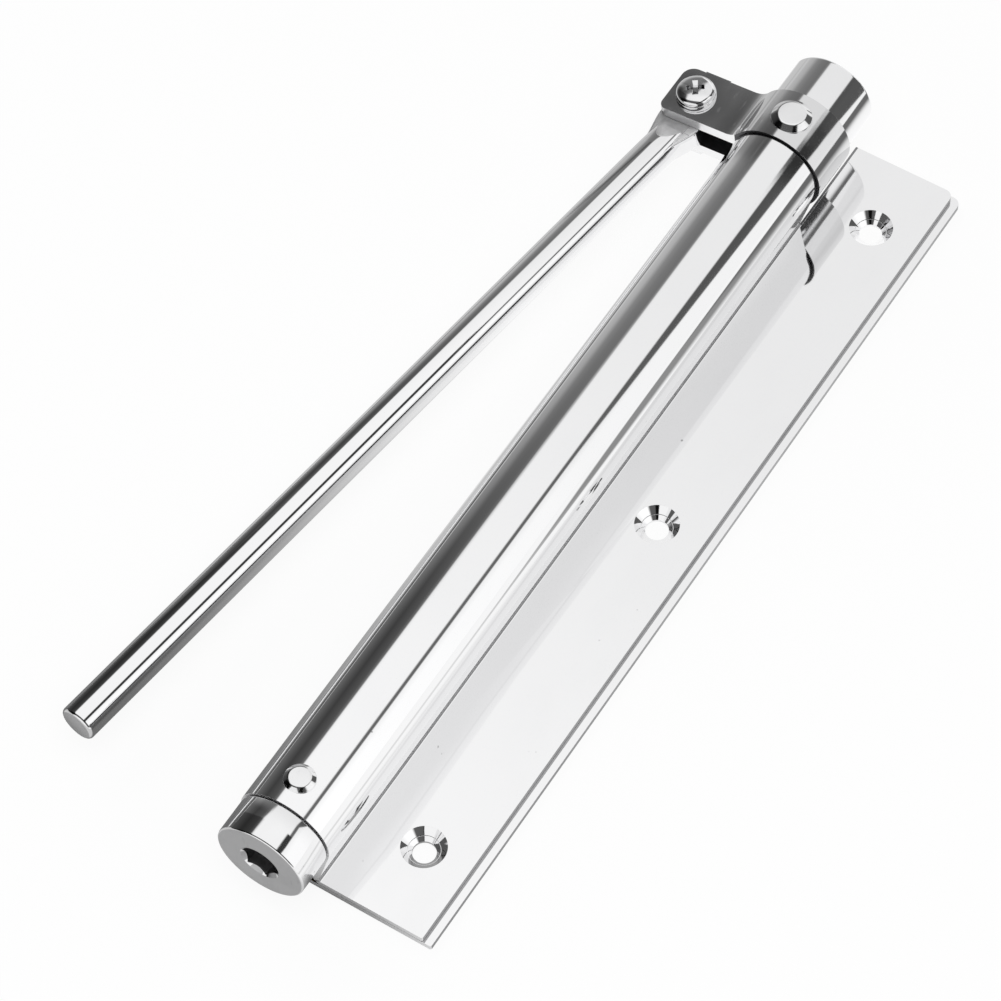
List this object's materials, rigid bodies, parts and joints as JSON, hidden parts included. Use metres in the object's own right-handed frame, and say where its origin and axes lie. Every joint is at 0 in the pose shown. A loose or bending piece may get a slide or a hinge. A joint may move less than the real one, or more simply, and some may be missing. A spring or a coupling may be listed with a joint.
{
  "type": "spring hinge",
  "caption": "Spring door hinge: a tube with a coil spring on a screw plate, an adjuster at one end and, at the other, a turning head with a clamp strap and a long arm rod.",
  "frame": {"origin": "middle screw hole, on the back face of the plate", "axes": "+Y along the tube to the arm's head, +X from the tube to the plate's free edge, +Z out of the back face to the front"},
  "size_m": [0.0934, 0.2373, 0.032],
  "materials": {
    "polished_sheet": "mirror polished sheet",
    "turned_steel": "polished, satin end faces",
    "strap_sheet": "mirror polished sheet",
    "arm_steel": "polished rod",
    "rivet_steel": "polished",
    "screw_steel": "plated",
    "hard_steel": "turned, oiled",
    "pin_steel": "ground",
    "spring_steel": "drawn, oiled",
    "bush_brass": "turned",
    "washer_nylon": "moulded"
  },
  "bodies": {
    "body": {"body_shell": "polished_sheet", "upper_bush": "bush_brass", "ratchet_bush": "bush_brass", "bush_rivet": "rivet_steel", "ratchet_pawl": "spring_steel"},
    "adjuster": {"tension_adjuster": "turned_steel", "adjuster_washer": "washer_nylon", "ratchet_wheel": "hard_steel", "lower_spring_seat": "hard_steel", "lower_seat_pin": "pin_steel"},
    "head": {"head_spindle": "turned_steel", "head_washer": "washer_nylon", "head_clip": "spring_steel", "upper_spring_seat": "hard_steel", "upper_seat_pin": "pin_steel", "spring_core": "hard_steel", "torsion_spring": "spring_steel", "clamp_strap": "strap_sheet", "strap_rivet": "rivet_steel", "arm_screw": "screw_steel", "pivot_sleeve": "hard_steel", "nut_washer": "screw_steel", "arm_nut": "screw_steel"},
    "arm": {"arm_rod": "arm_steel"}
  },
  "joints": [
    {"name": "head_turn", "type": "hinge", "parent": "body", "child": "head", "pos_m": [-0.0218, 0.0945, 0.019], "axis": [0, 1, 0], "range_deg": [0, 120], "stiffness_Nm_per_rad": 0.19, "deforming": ["torsion_spring"]},
    {"name": "arm_swing", "type": "hinge", "parent": "head", "child": "arm", "pos_m": [-0.04644, 0.0945, 0.01663], "axis": [-0.0958, 0, 0.9954], "range_deg": [-95, 10]},
    {"name": "adjuster_turn", "type": "hinge", "parent": "body", "child": "adjuster", "pos_m": [-0.0218, -0.123, 0.019], "axis": [0, -1, 0], "range_deg": [0, 450], "deforming": ["torsion_spring", "ratchet_pawl"]}
  ]
}
